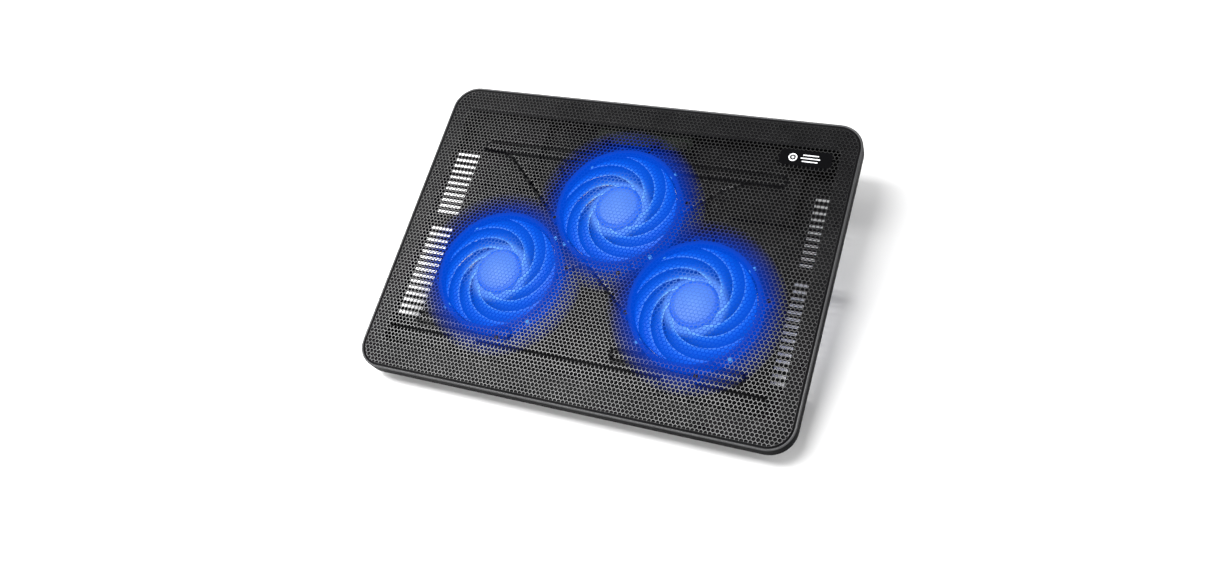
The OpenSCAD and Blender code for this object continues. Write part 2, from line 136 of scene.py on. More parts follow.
def add_world(low, high):
    """Soft white surroundings of strength low near the horizon and high overhead."""
    world = bpy.data.worlds.new("studio")
    bpy.context.scene.world = world
    world.use_nodes = True
    tree = world.node_tree
    backdrop = tree.nodes["Background"]
    backdrop.inputs["Color"].default_value = (1, 1, 1, 1)
    split = tree.nodes.new("ShaderNodeSeparateXYZ")
    tree.links.new(tree.nodes.new("ShaderNodeTexCoord").outputs["Generated"], split.inputs[0])
    fade = tree.nodes.new("ShaderNodeMapRange")
    for index, value in enumerate((*FADE_HEIGHTS, low, high)):
        fade.inputs[index + 1].default_value = value
    tree.links.new(split.outputs["Z"], fade.inputs[0])
    tree.links.new(fade.outputs[0], backdrop.inputs["Strength"])


# ---------------------------------------------------------------- material building blocks
def shader(name, colour, roughness, **sockets):
    """New material with its Principled shader's sockets set: (material, tree, shader)."""
    material = bpy.data.materials.new(name)
    material.use_nodes = True
    tree = material.node_tree
    bsdf = tree.nodes["Principled BSDF"]
    bsdf.inputs["Base Color"].default_value = (*colour, 1)
    bsdf.inputs["Roughness"].default_value = roughness
    for socket, value in sockets.items():
        bsdf.inputs[socket.replace("_", " ")].default_value = value
    return material, tree, bsdf


def node(tree, kind, **values):
    """New node; values name its properties, or its inputs as in_Name."""
    made = tree.nodes.new("ShaderNode" + kind)
    for key, value in values.items():
        if key.startswith("in_"):
            made.inputs[key[3:].replace("_", " ")].default_value = value
        else:
            setattr(made, key, value)
    return made


def object_point(tree):
    """The shaded point in the frame that every finished piece shares, in metres."""
    return node(tree, "TexCoord").outputs["Object"]


def pad_point(tree):
    """The shaded point in the pad's own frame, in metres."""
    mapping = node(tree, "Mapping", vector_type="POINT")
    mapping.inputs["Rotation"].default_value = (-TILT, 0, 0)
    mapping.inputs["Location"].default_value = PAD_BACK.translation
    tree.links.new(object_point(tree), mapping.inputs["Vector"])
    return mapping.outputs["Vector"]


def pad_height(tree):
    """Height of the shaded point over the rim's top plane, in metres."""
    split = node(tree, "SeparateXYZ")
    tree.links.new(pad_point(tree), split.inputs[0])
    return split.outputs["Z"]


def noise(tree, scale, detail=3.0, roughness=0.5):
    """Cloudy value from 0 to 1, with scale clouds to the metre."""
    made = node(tree, "TexNoise", in_Scale=scale, in_Detail=detail, in_Roughness=roughness)
    tree.links.new(object_point(tree), made.inputs["Vector"])
    return made.outputs["Fac"]


def spread(tree, value, low, high, start=0.3, end=0.7):
    """value between start and end, spread between low and high."""
    made = node(tree, "MapRange", clamp=True)
    for index, number in enumerate((start, end, low, high)):
        made.inputs[index + 1].default_value = number
    tree.links.new(value, made.inputs[0])
    return made.outputs[0]


def ramp(tree, value, stops):
    """Colour looked up by value in stops, each a place and a colour."""
    made = node(tree, "ValToRGB")
    elements = made.color_ramp.elements
    while len(elements) < len(stops):
        elements.new(0.5)
    for element, (place, colour) in zip(elements, stops):
        element.position = place
        element.color = (*colour, 1)
    tree.links.new(value, made.inputs["Fac"])
    return made.outputs["Color"]


def maths(tree, operation, a, b=0):
    """Result of an operation on a and b, each a number or a node's output."""
    made = node(tree, "Math", operation=operation)
    for index, value in enumerate((a, b)):
        if isinstance(value, (int, float)):
            made.inputs[index].default_value = value
        else:
            tree.links.new(value, made.inputs[index])
    return made.outputs[0]


def blend(tree, share, low, high):
    """Colour low where share is 0 and high where it is 1, each a colour or a node's output."""
    made = node(tree, "Mix", data_type="RGBA")
    tree.links.new(share, made.inputs["Factor"])
    for index, colour in ((6, low), (7, high)):
        if isinstance(colour, tuple):
            made.inputs[index].default_value = (*colour, 1)
        else:
            tree.links.new(colour, made.inputs[index])
    return made.outputs[2]


def bump(tree, bsdf, height, strength, distance):
    """Fine relief: height of the given strength over distance metres."""
    made = node(tree, "Bump", in_Strength=strength, in_Distance=distance)
    tree.links.new(height, made.inputs["Height"])
    tree.links.new(made.outputs["Normal"], bsdf.inputs["Normal"])


def mottled(tree, bsdf, dark, light, scale, rough_low, rough_high):
    """Colour and roughness that wander slowly over the surface."""
    cloud = noise(tree, scale, 4.0, 0.6)
    tree.links.new(ramp(tree, cloud, ((0.3, dark), (0.7, light))), bsdf.inputs["Base Color"])
    wear = noise(tree, scale * 2.7, 3.0)
    tree.links.new(spread(tree, wear, rough_low, rough_high), bsdf.inputs["Roughness"])


# ---------------------------------------------------------------- materials
SPILL_REACH = 0.070
SPILL_CURVE = 1.1
BLADE_REACH = 0.052
# Height band of the deck's top face; below it the deck is painted in shade
DECK_FACE = (-0.00085, -0.00055)
# Height bands where a highlight is painted on the rim: the top of the lip, and round the ledge's
# top face
LIP_CROWN = (-0.0009, -0.0002)
LEDGE_DEEP = 0.0013
LEDGE_BAND = (0.0002, 0.0006)


def fan_distance(tree):
    """Distance from the shaded point to the nearest fan's axis, in metres."""
    flat = node(tree, "VectorMath", operation="MULTIPLY")
    flat.inputs[1].default_value = (1, 1, 0)
    tree.links.new(pad_point(tree), flat.inputs[0])
    nearest = None
    for centre in FANS.values():
        away = node(tree, "VectorMath", operation="DISTANCE")
        away.inputs[1].default_value = (centre.x * MM, centre.y * MM, 0)
        tree.links.new(flat.outputs["Vector"], away.inputs[0])
        distance = away.outputs["Value"]
        nearest = distance if nearest is None else maths(tree, "MINIMUM", nearest, distance)
    return nearest


def light_spill(tree, bsdf, strength, full, none):
    """Blue light from the fans on a surface, full up to one radius and none past another;
    returns how lit each point is, from 0 to 1."""
    distance = fan_distance(tree)
    colour = ramp(tree, maths(tree, "DIVIDE", distance, SPILL_REACH), (
        (0.00, (0.13, 0.31, 0.95)), (0.24, (0.10, 0.26, 0.90)), (0.28, (0.04, 0.16, 0.85)),
        (0.31, (0.11, 0.27, 0.88)), (0.37, (0.06, 0.20, 0.85)), (0.46, (0.0, 0.10, 0.82)),
        (0.75, (0.0, 0.08, 0.80)), (1.0, (0.0, 0.05, 0.75)),
    ))
    tree.links.new(colour, bsdf.inputs["Emission Color"])
    fade = spread(tree, distance, 1.0, 0.0, full, none)
    lit = maths(tree, "POWER", fade, SPILL_CURVE)
    tree.links.new(maths(tree, "MULTIPLY", lit, strength), bsdf.inputs["Emission Strength"])
    return lit


def over_ledge(tree):
    """1 where the deck lies on the rim's ledge, 0 over the open inside."""
    split = node(tree, "SeparateXYZ")
    tree.links.new(pad_point(tree), split.inputs[0])
    edge_x = (PAD_W / 2 - LEDGE_SIDE) * MM
    edge_y = (PAD_D / 2 - LEDGE_END) * MM
    past_x = maths(tree, "SUBTRACT", maths(tree, "ABSOLUTE", split.outputs["X"]), edge_x)
    past_y = maths(tree, "SUBTRACT", maths(tree, "ABSOLUTE", split.outputs["Y"]), edge_y)
    return spread(tree, maths(tree, "MAXIMUM", past_x, past_y), 0.0, 1.0, 0.0, 0.002)


def coated_steel():
    """Satin black powder coat, with painted shade: near black and without sheen down the hole walls
    and in the pressed creases, a little darker over the rim's ledge, and dimmed under the blue
    light spilt over it."""
    material, tree, bsdf = shader("coated_steel", (0.03, 0.03, 0.032), 0.35)
    lit = light_spill(tree, bsdf, 0.88, 0.048, 0.072)
    # Painted shade: below the deck's top face, down the hole walls and in the pressed creases, the
    # sheet is painted near black and loses its sheen.
    top = spread(tree, pad_height(tree), 0.0, 1.0, *DECK_FACE)
    # Painted shade: over the rim's ledge the sheet is painted a quarter darker, with less sheen.
    ledge_shade = spread(tree, over_ledge(tree), 1.0, 0.75, 0.0, 1.0)
    # Under the blue fan light painted on as glow, the sheet's own colour and sheen fade out.
    unlit = maths(tree, "POWER", maths(tree, "SUBTRACT", 1.0, lit), 2.0)
    face = maths(tree, "MULTIPLY", top, unlit)
    face = maths(tree, "MULTIPLY", face, ledge_shade)
    cloud = ramp(tree, noise(tree, 35.0, 4.0, 0.6), (
        (0.3, (0.011, 0.011, 0.0112)), (0.7, (0.024, 0.024, 0.0244))))
    tree.links.new(blend(tree, face, (0.002, 0.002, 0.003), cloud), bsdf.inputs["Base Color"])
    tree.links.new(spread(tree, face, 0.0, 0.68, 0.0, 1.0), bsdf.inputs["Specular IOR Level"])
    tree.links.new(spread(tree, noise(tree, 95.0), 0.27, 0.35), bsdf.inputs["Roughness"])
    bump(tree, bsdf, noise(tree, 2600.0, 2.0), 0.25, 0.0002)
    return material


def moulded_plastic(name, dark, light, rough_low, rough_high, shine=0.5, spill=0.0):
    """Finely grained plastic, with blue light spilt over it where spill is given."""
    material, tree, bsdf = shader(name, dark, rough_low, Specular_IOR_Level=shine)
    mottled(tree, bsdf, dark, light, 28.0, rough_low, rough_high)
    bump(tree, bsdf, noise(tree, 1400.0, 2.0), 0.35, 0.0002)
    if spill:
        light_spill(tree, bsdf, spill, 0.052, 0.074)
    return material


def rim_plastic():
    """Near black plastic with a painted highlight: paler and shinier along the top of the lip, and
    a little paler on the ledge.
    """
    material, tree, bsdf = shader("rim_plastic", (0.005, 0.005, 0.0055), 0.3)
    height = pad_height(tree)
    # Painted highlight: the top of the lip and the ledge are painted paler, and the lip's top
    # shinier.
    lip = spread(tree, height, 0.0, 1.0, *LIP_CROWN)
    off_ledge = maths(tree, "ABSOLUTE", maths(tree, "ADD", height, LEDGE_DEEP))
    ledge = spread(tree, off_ledge, 0.10, 0.0, *LEDGE_BAND)
    painted_highlight = maths(tree, "MAXIMUM", lip, ledge)
    cloud = noise(tree, 28.0, 4.0, 0.6)
    body = ramp(tree, cloud, ((0.3, (0.004, 0.004, 0.0045)), (0.7, (0.010, 0.010, 0.0105))))
    tree.links.new(blend(tree, painted_highlight, body, (0.045, 0.045, 0.047)), bsdf.inputs["Base Color"])
    tree.links.new(spread(tree, lip, 0.004, 0.35, 0.0, 1.0), bsdf.inputs["Specular IOR Level"])
    tree.links.new(spread(tree, noise(tree, 75.0), 0.28, 0.36), bsdf.inputs["Roughness"])
    bump(tree, bsdf, noise(tree, 1400.0, 2.0), 0.3, 0.0002)
    return material


def rubber():
    """Matt, slightly rough black rubber."""
    material, tree, bsdf = shader(
        "sole_rubber", (0.012, 0.012, 0.012), 0.8, Specular_IOR_Level=0.15)
    mottled(tree, bsdf, (0.009, 0.009, 0.009), (0.018, 0.018, 0.0175), 60.0, 0.72, 0.9)
    bump(tree, bsdf, noise(tree, 900.0, 3.0), 0.5, 0.0003)
    return material


def bare_metal(name, colour, rough_low, rough_high, brushed=900.0):
    """Metal with a fine grain of brushed marks to the metre."""
    dark = tuple(part * 0.8 for part in colour)
    material, tree, bsdf = shader(name, colour, rough_low, Metallic=1.0)
    mottled(tree, bsdf, dark, colour, 90.0, rough_low, rough_high)
    bump(tree, bsdf, noise(tree, brushed, 4.0), 0.15, 0.0001)
    return material


def polished_badge():
    """Gloss black plastic with faint wear."""
    material, tree, bsdf = shader(
        "polished_badge", (0.003, 0.003, 0.0035), 0.08, Specular_IOR_Level=0.15)
    wear = noise(tree, 120.0, 3.0)
    tree.links.new(spread(tree, wear, 0.06, 0.16), bsdf.inputs["Roughness"])
    bump(tree, bsdf, noise(tree, 60.0, 1.0), 0.04, 0.0003)
    return material


def printed_white():
    """White ink, a little uneven."""
    material, tree, bsdf = shader("printed_white", (0.8, 0.81, 0.82), 0.5)
    mottled(tree, bsdf, (0.74, 0.75, 0.77), (0.86, 0.87, 0.88), 300.0, 0.42, 0.58)
    bump(tree, bsdf, noise(tree, 2500.0, 2.0), 0.2, 0.0001)
    return material


def circuit_board():
    """Black mask with copper tracks showing through in a square maze."""
    material, tree, bsdf = shader(
        "circuit_board", (0.006, 0.007, 0.006), 0.35, Specular_IOR_Level=0.04)
    tracks = node(tree, "TexBrick", in_Scale=90.0, in_Mortar_Size=0.06)
    tracks.inputs["Color1"].default_value = (0.005, 0.006, 0.005, 1)
    tracks.inputs["Color2"].default_value = (0.007, 0.009, 0.008, 1)
    tracks.inputs["Mortar"].default_value = (0.016, 0.020, 0.016, 1)
    tree.links.new(pad_point(tree), tracks.inputs["Vector"])
    tree.links.new(tracks.outputs["Color"], bsdf.inputs["Base Color"])
    tree.links.new(spread(tree, noise(tree, 200.0), 0.28, 0.42), bsdf.inputs["Roughness"])
    bump(tree, bsdf, tracks.outputs["Fac"], 0.3, 0.0002)
    return material


def wound_copper():
    """Enamelled wire, each turn a shallow ridge."""
    material, tree, bsdf = shader("wound_copper", (0.62, 0.22, 0.08), 0.3, Metallic=1.0)
    strands = node(tree, "TexWave", in_Scale=700.0, in_Distortion=0.6, bands_direction="Z")
    tree.links.new(pad_point(tree), strands.inputs["Vector"])
    colour = ramp(tree, strands.outputs["Fac"], (
        (0.2, (0.25, 0.07, 0.02)), (0.8, (0.72, 0.28, 0.11))))
    tree.links.new(colour, bsdf.inputs["Base Color"])
    bump(tree, bsdf, strands.outputs["Fac"], 0.6, 0.0002)
    return material


def lit_plastic(name, stops, strength, edge=0.0):
    """Blue plastic lit from inside: colour follows the distance from the axis, and on blades a
    highlight is painted, paler towards their raised edge by the given share, and shade is painted
    as a weaker glow away from that edge."""
    material, tree, bsdf = shader(name, (0.0, 0.02, 0.12), 0.35, Specular_IOR_Level=0.12)
    reach = maths(tree, "DIVIDE", fan_distance(tree), BLADE_REACH)
    colour = ramp(tree, reach, stops)
    if edge:
        # Painted highlight: blades are painted paler towards their raised edge, less so towards the
        # tip.
        across = node(tree, "Attribute", attribute_name="across").outputs["Fac"]
        paler = node(tree, "Mix", data_type="RGBA", blend_type="ADD")
        lift = ramp(tree, across, (
            (0.0, (0, 0, 0)), (0.72, (0.0, 0.01, 0.0)), (0.90, (0.02, 0.09, 0.0)),
            (1.0, (0.16, 0.30, 0.12)),
        ))
        tree.links.new(spread(tree, reach, edge, 0.3 * edge, 0.5, 0.95), paler.inputs["Factor"])
        tree.links.new(colour, paler.inputs[6])
        tree.links.new(lift, paler.inputs[7])
        colour = paler.outputs[2]
        # Painted shade: away from the raised edge the blades glow weaker, weakest just outside the
        # hub; nearest the hub they glow evenly.
        hollow = spread(tree, reach, 0.25 * strength, 0.62 * strength, 0.52, 0.80)
        crest = spread(tree, across, 0.0, 1.0, 0.35, 0.92)
        valley = maths(tree, "MULTIPLY", hollow, maths(tree, "SUBTRACT", 1.0, crest))
        ridge = maths(tree, "ADD", valley, maths(tree, "MULTIPLY", crest, strength))
        strength_of = maths(tree, "MAXIMUM", ridge, spread(tree, reach, strength, 0.0, 0.47, 0.57))
    else:
        strength_of = spread(tree, noise(tree, 55.0, 3.0, 0.6), 0.92 * strength, 1.08 * strength)
    tree.links.new(colour, bsdf.inputs["Emission Color"])
    tree.links.new(strength_of, bsdf.inputs["Emission Strength"])
    bump(tree, bsdf, noise(tree, 300.0, 2.0), 0.1, 0.0003)
    return material


MAT = {
    "deck": coated_steel(),
    "rim": rim_plastic(),
    "tray": moulded_plastic(
        "tray_plastic", (0.004, 0.004, 0.0045), (0.011, 0.011, 0.0115), 0.50, 0.64, 0.002, 0.5),
    "leg": moulded_plastic(
        "leg_plastic", (0.006, 0.006, 0.0065), (0.010, 0.010, 0.011), 0.40, 0.52, 0.12),
    "fan": moulded_plastic(
        "fan_plastic", (0.004, 0.004, 0.0045), (0.007, 0.007, 0.008), 0.48, 0.60, 0.0, 0.8),
    "slider": moulded_plastic("slider_plastic", (0.42, 0.43, 0.45), (0.52, 0.53, 0.55), 0.4, 0.5),
    "tongue": moulded_plastic("tongue_plastic", (0.74, 0.74, 0.74), (0.84, 0.84, 0.83), 0.4, 0.5),
    "plug": moulded_plastic(
        "plug_plastic", (0.006, 0.006, 0.006), (0.011, 0.011, 0.011), 0.4, 0.55, 0.05),
    "magnet": moulded_plastic("magnet_ferrite", (0.03, 0.03, 0.032), (0.06, 0.06, 0.062), 0.5, 0.7),
    "jacket": moulded_plastic(
        "lead_jacket", (0.004, 0.004, 0.0045), (0.008, 0.008, 0.009), 0.4, 0.5, 0.02),
    "rubber": rubber(),
    "screw": bare_metal("black_screw", (0.010, 0.010, 0.011), 0.35, 0.5),
    "steel": bare_metal("drawn_steel", (0.62, 0.63, 0.65), 0.22, 0.38),
    "tin": bare_metal("tinned_steel", (0.70, 0.71, 0.73), 0.25, 0.4, 500.0),
    "bronze": bare_metal("sintered_bronze", (0.55, 0.34, 0.12), 0.4, 0.6, 1800.0),
    "core": bare_metal("stacked_steel", (0.42, 0.42, 0.44), 0.35, 0.5, 1600.0),
    "copper": wound_copper(),
    "board": circuit_board(),
    "badge": polished_badge(),
    "print": printed_white(),
    "hub": lit_plastic("lit_hub", (
        (0.0, (0.15, 0.33, 1.0)), (0.29, (0.10, 0.26, 0.92)), (0.33, (0.04, 0.17, 0.88)),
        (0.385, (0.01, 0.11, 0.80)), (0.44, (0.12, 0.30, 0.92)), (0.50, (0.08, 0.23, 0.88)),
        (0.54, (0.01, 0.12, 0.84)),
    ), 0.95),
    "blade": lit_plastic("lit_blade", (
        (0.40, (0.14, 0.32, 0.95)), (0.50, (0.09, 0.26, 0.90)), (0.56, (0.01, 0.12, 0.84)),
        (1.0, (0.0, 0.10, 0.84)),
    ), 1.0, 1.0),
    "led": lit_plastic("led_lens", ((0.0, (0.1, 0.4, 1.0)), (1.0, (0.1, 0.4, 1.0))), 0.8),
}


# ---------------------------------------------------------------- piece building blocks
def piece(bm, name, finish, body="pad", replaces=(), smooth=30.0):
    """Turns a mesh drawn in pad millimetres into an object that rides on a body."""
    bm.transform(PAD @ Matrix.Scale(MM, 4))
    mesh = bpy.data.meshes.new(name)
    bm.to_mesh(mesh)
    bm.free()
    obj = bpy.data.objects.new(name, mesh)
    bpy.context.collection.objects.link(obj)
    mesh.materials.append(MAT[finish])
    mesh.shade_smooth()
    mesh.set_sharp_from_angle(angle=math.radians(smooth))
    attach(obj, body)
    if replaces:
        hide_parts(*replaces)


def place_round(ways, half_w, half_d, radius, z):
    """Moves each vertex, by its way out from the middle, on to a rectangle with round corners."""
    for v, way in ways.items():
        v.co.x = math.copysign(half_w - radius, way.x) + radius * way.x
        v.co.y = math.copysign(half_d - radius, way.y) + radius * way.y
        v.co.z = z


def swept_ring(bm, outlines, steps=12):
    """Closed skin through outlines, each given as place_round takes it."""
    made = bmesh.ops.create_circle(bm, segments=4 * steps, radius=1.0)
    turn = Matrix.Rotation(math.pi / (4 * steps), 4, "Z")
    bmesh.ops.rotate(bm, verts=made["verts"], matrix=turn)
    ways = {v: v.co.xy.copy() for v in made["verts"]}
    edges = list({edge for v in ways for edge in v.link_edges})
    place_round(ways, *outlines[0])
    for outline in outlines[1:] + outlines[:1]:
        made = bmesh.ops.extrude_edge_only(bm, edges=edges)["geom"]
        edges = [g for g in made if isinstance(g, bmesh.types.BMEdge)]
        moved = {}
        for v in (g for g in made if isinstance(g, bmesh.types.BMVert)):
            behind = [edge.other_vert(v) for edge in v.link_edges]
            moved[v] = next(ways[other] for other in behind if other in ways)
        ways = moved
        place_round(ways, *outline)
    outwards(bm)


def outwards(bm):
    """Welds the mesh and turns its faces outwards."""
    bmesh.ops.remove_doubles(bm, verts=bm.verts, dist=1e-4)
    bmesh.ops.recalc_face_normals(bm, faces=bm.faces)


# ---------------------------------------------------------------- softened CAD nodes
def softened(name, finish, chosen, width):
    """Copy of a CAD node of the pad with its chosen sharp edges rounded; chosen is given an
    edge's two ends in pad millimetres."""
    bm = bmesh.new()
    bm.from_mesh(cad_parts[name].data)
    bm.transform(Matrix.Scale(1 / MM, 4) @ PAD_BACK)
    bmesh.ops.remove_doubles(bm, verts=bm.verts, dist=1e-3)
    bmesh.ops.dissolve_limit(bm, angle_limit=math.radians(0.5), verts=bm.verts, edges=bm.edges)
    sharp = [
        edge for edge in bm.edges
        if len(edge.link_faces) == 2 and edge.calc_face_angle() > math.radians(40)
        and chosen(edge.verts[0].co, edge.verts[1].co)
    ]
    bmesh.ops.bevel(
        bm, geom=sharp, offset=width, segments=4, profile=0.5, affect="EDGES", material=-1,
        clamp_overlap=True,
    )
    bmesh.ops.recalc_face_normals(bm, faces=bm.faces)
    piece(bm, name + "_softened", finish, replaces=[name], smooth=35.0)


def on_lip(a, b):
    """Whether an edge lies in the rim's top plane."""
    return a.z > -0.05 and b.z > -0.05


# ---------------------------------------------------------------- perforated deck
def bar_outline(x_from, x_to, y_from, y_to, cut=3.0):
    """Closed outline of a long bar with clipped corners."""
    return [
        (x_from + cut, y_from), (x_to - cut, y_from), (x_to, y_from + cut), (x_to, y_to - cut),
        (x_to - cut, y_to), (x_from + cut, y_to), (x_from, y_to - cut), (x_from, y_from + cut),
        (x_from + cut, y_from),
    ]


# Creases pressed into the deck, each with its depth: a line along the rear, three bars along
# the front, two pairs of bars above and below the fans, and a large X whose arms run between
# the fans
CREASES = [
    (0.45, [(-171, 117), (168, 117)]),
    (0.35, bar_outline(-170, -106, -114, -100)),
    (0.35, bar_outline(-87, 81, -114, -100)),
    (0.35, bar_outline(103, 164, -114, -100)),
    (0.90, [(-168, -100), (-109, -100)]),
    (0.90, [(-84, -100), (78, -100)]),
    (0.90, [(106, -100), (161, -100)]),
    (0.80, bar_outline(-147, -57, -93.5, -84.5)),
    (0.80, bar_outline(32, 143, -93.5, -84.5)),
    (0.60, bar_outline(-141, -36, 77, 87)),
    (0.60, bar_outline(35, 136, 77, 87)),
    (0.80, [(-141, 77.5), (-120, 76), (-110, 71), (-52, 20), (-12, -16), (62, -77), (61, -82),
            (56, -85)]),
    (0.60, [(-52, 77.5), (-61.5, 74.5), (-64, 70), (-44.5, 51.5)]),
    (0.60, [(23, -9), (52, -34.5), (115, -81), (132, -86)]),
    (0.60, [(136, 78), (103, 75), (86, 67), (52, 37), (-12, -16), (-28, -27), (-92, -78),
            (-90, -84)]),
    (0.45, [(35, 77.5), (62, 76.5), (69, 72), (65.5, 65), (48.5, 46.5)]),
]
CREASE_HALF = 1.25
CREASE_STEEP = 1.6
PRESS = 0.55


def crease_runs():
    """Every straight run of the creases as start, unit direction, length and depth."""
    runs = []
    for depth, line in CREASES:
        for start, end in zip(line, line[1:]):
            start, way = Vector(start), Vector(end) - Vector(start)
            runs.append((start, way.normalized(), way.length, depth))
    return runs


RUNS = crease_runs()


def crease_depth(x, y):
    """How deep a point of the deck is pressed, from 0 to 1."""
    deepest = 0.0
    for start, way, length, depth in RUNS:
        dx, dy = x - start.x, y - start.y
        across = abs(dx * way.y - dy * way.x)
        if across < CREASE_HALF:
            along = dx * way.x + dy * way.y
            away = max(across, -along, along - length)
            if away < CREASE_HALF:
                flank = min(1.0, CREASE_STEEP * (1.0 - away / CREASE_HALF))
                deepest = max(deepest, depth * flank)
    return deepest


def hex_field(x_from, x_to):
    """Sheet of hexagonal cells, each with its own hole, between two planes across the deck."""
    bm = bmesh.new()
    half_d = PAD_D / 2 - SHEET_INSET
    row = HOLE_PITCH * math.sqrt(3) / 2
    first = math.floor(x_from / HOLE_PITCH) - 1
    count = math.ceil((x_to - x_from) / HOLE_PITCH) + 3
    rows = math.ceil(half_d / row)
    bmesh.ops.create_circle(bm, cap_ends=True, segments=6, radius=HOLE_PITCH / math.sqrt(3))
    bmesh.ops.inset_individual(bm, faces=bm.faces[:], thickness=HOLE_WEB / 2)
    hole = min(bm.faces, key=lambda face: face.calc_center_median().length)
    bmesh.ops.delete(bm, geom=[hole], context="FACES_ONLY")
    repeat(bm, count, Vector((HOLE_PITCH, 0, 0)))
    bmesh.ops.translate(bm, verts=bm.verts, vec=(first * HOLE_PITCH, -rows * row, 0))
    repeat_rows(bm, 2 * rows + 1, row)
    bmesh.ops.remove_doubles(bm, verts=bm.verts, dist=0.02)
    return bm


def repeat(bm, count, step):
    """Repeats the whole mesh count times along step, doubling as it goes."""
    have = 1
    while have < count:
        more = min(have, count - have)
        span = bm.faces[:]
        span = span[:len(span) // have * more]
        made = bmesh.ops.duplicate(bm, geom=span)
        verts = [g for g in made["geom"] if isinstance(g, bmesh.types.BMVert)]
        bmesh.ops.translate(bm, verts=verts, vec=step * have)
        have += more


def repeat_rows(bm, count, row):
    """Repeats the first row of cells, every second row shifted by half a pitch."""
    first = bm.faces[:]
    for index in range(1, count):
        made = bmesh.ops.duplicate(bm, geom=first)
        verts = [g for g in made["geom"] if isinstance(g, bmesh.types.BMVert)]
        shift = (index % 2) * HOLE_PITCH / 2
        bmesh.ops.translate(bm, verts=verts, vec=(shift, index * row, 0))


def trim(bm, point, normal):
    """Cuts away everything on the side that normal points to."""
    geom = bm.verts[:] + bm.edges[:] + bm.faces[:]
    bmesh.ops.bisect_plane(bm, geom=geom, plane_co=point, plane_no=normal, clear_outer=True)


def trim_to_outline(bm):
    """Cuts the sheet to the deck's outline, its corners in short straight steps."""
    half_w, half_d, radius = (
        PAD_W / 2 - SHEET_INSET, PAD_D / 2 - SHEET_INSET, CORNER_R - SHEET_INSET)
    for normal in ((1, 0), (-1, 0), (0, 1), (0, -1)):
        reach = half_w if normal[0] else half_d
        trim(bm, (normal[0] * reach, normal[1] * reach, 0), (*normal, 0))
    steps = 7
    for sx in (-1, 1):
        for sy in (-1, 1):
            for index in range(1, steps):
                angle = math.pi / 2 * index / steps
                out = Vector((sx * math.cos(angle), sy * math.sin(angle), 0))
                corner = Vector((sx * (half_w - radius), sy * (half_d - radius), 0))
                trim(bm, corner + out * radius, out)


def deck_sheet():
    """The perforated sheet in three abutting pieces, open under the badge and pressed along
    the creases."""
    thirds = (-PAD_W / 2, -PAD_W / 6, PAD_W / 6, PAD_W / 2)
    for name, x_from, x_to in zip(SIDES, thirds, thirds[1:]):
        bm = hex_field(x_from, x_to)
        if name != "left":
            trim(bm, (x_from, 0, 0), (-1, 0, 0))
        if name != "right":
            trim(bm, (x_to, 0, 0), (1, 0, 0))
        trim_to_outline(bm)
        under_badge = [
            f for f in bm.faces
            if abs(f.calc_center_median().x - BADGE.x) < BADGE_CLEAR[0]
            and abs(f.calc_center_median().y - BADGE.y) < BADGE_CLEAR[1]
        ]
        bmesh.ops.delete(bm, geom=under_badge, context="FACES")
        bmesh.ops.recalc_face_normals(bm, faces=bm.faces)
        for v in bm.verts:
            v.co.z = DECK_TOP - PRESS * crease_depth(v.co.x, v.co.y)
        bmesh.ops.solidify(bm, geom=bm.faces[:], thickness=DECK_T)
        bmesh.ops.recalc_face_normals(bm, faces=bm.faces)
        piece(
            bm, "deck_mesh_" + name, "deck", replaces=["mesh_panel"],
            smooth=20.0,
        )


def deck_hem():
    """Folded edge round the sheet."""
    bm = bmesh.new()
    half_w, half_d, radius = (
        PAD_W / 2 - DECK_INSET, PAD_D / 2 - DECK_INSET, CORNER_R - DECK_INSET)
    low, high = DECK_TOP - DECK_T, DECK_TOP - 0.30
    profile = (
        (0.0, low), (0.0, high - 0.25), (0.1, high - 0.08), (0.35, high),
        (1.1, high), (1.3, high - 0.1), (HEM_WIDE, high - 0.25), (HEM_WIDE, low),
    )
    swept_ring(bm, [(half_w - inset, half_d - inset, radius - inset, z) for inset, z in profile])
    piece(bm, "deck_hem", "rim")


def deck_tabs():
    """Short tabs bent down from the sheet's edge into slots in the rim's ledge."""
    bm = bmesh.new()
    reach_x, reach_y = PAD_W / 2 - TAB_INSET, PAD_D / 2 - TAB_INSET
    along = [(x, y) for x in (-120, -40, 40, 120) for y in (-reach_y, reach_y)]
    across = [(x, y) for x in (-reach_x, reach_x) for y in (-70, 50)]
    places = [(x, y, TAB_LONG, TAB_THIN) for x, y in along]
    places += [(x, y, TAB_THIN, TAB_LONG) for x, y in across]
    low, high = DECK_TOP - DECK_T - TAB_DEEP, DECK_TOP - DECK_T + 0.1
    for x, y, wide, deep in places:
        made = bmesh.ops.create_cube(bm, size=1.0)
        bmesh.ops.scale(bm, verts=made["verts"], vec=(wide, deep, high - low))
        bmesh.ops.translate(bm, verts=made["verts"], vec=(x, y, (low + high) / 2))
    bmesh.ops.bevel(
        bm, geom=bm.edges[:], offset=0.15, segments=2, profile=0.5, affect="EDGES", material=-1,
    )
    piece(bm, "deck_tabs", "deck")


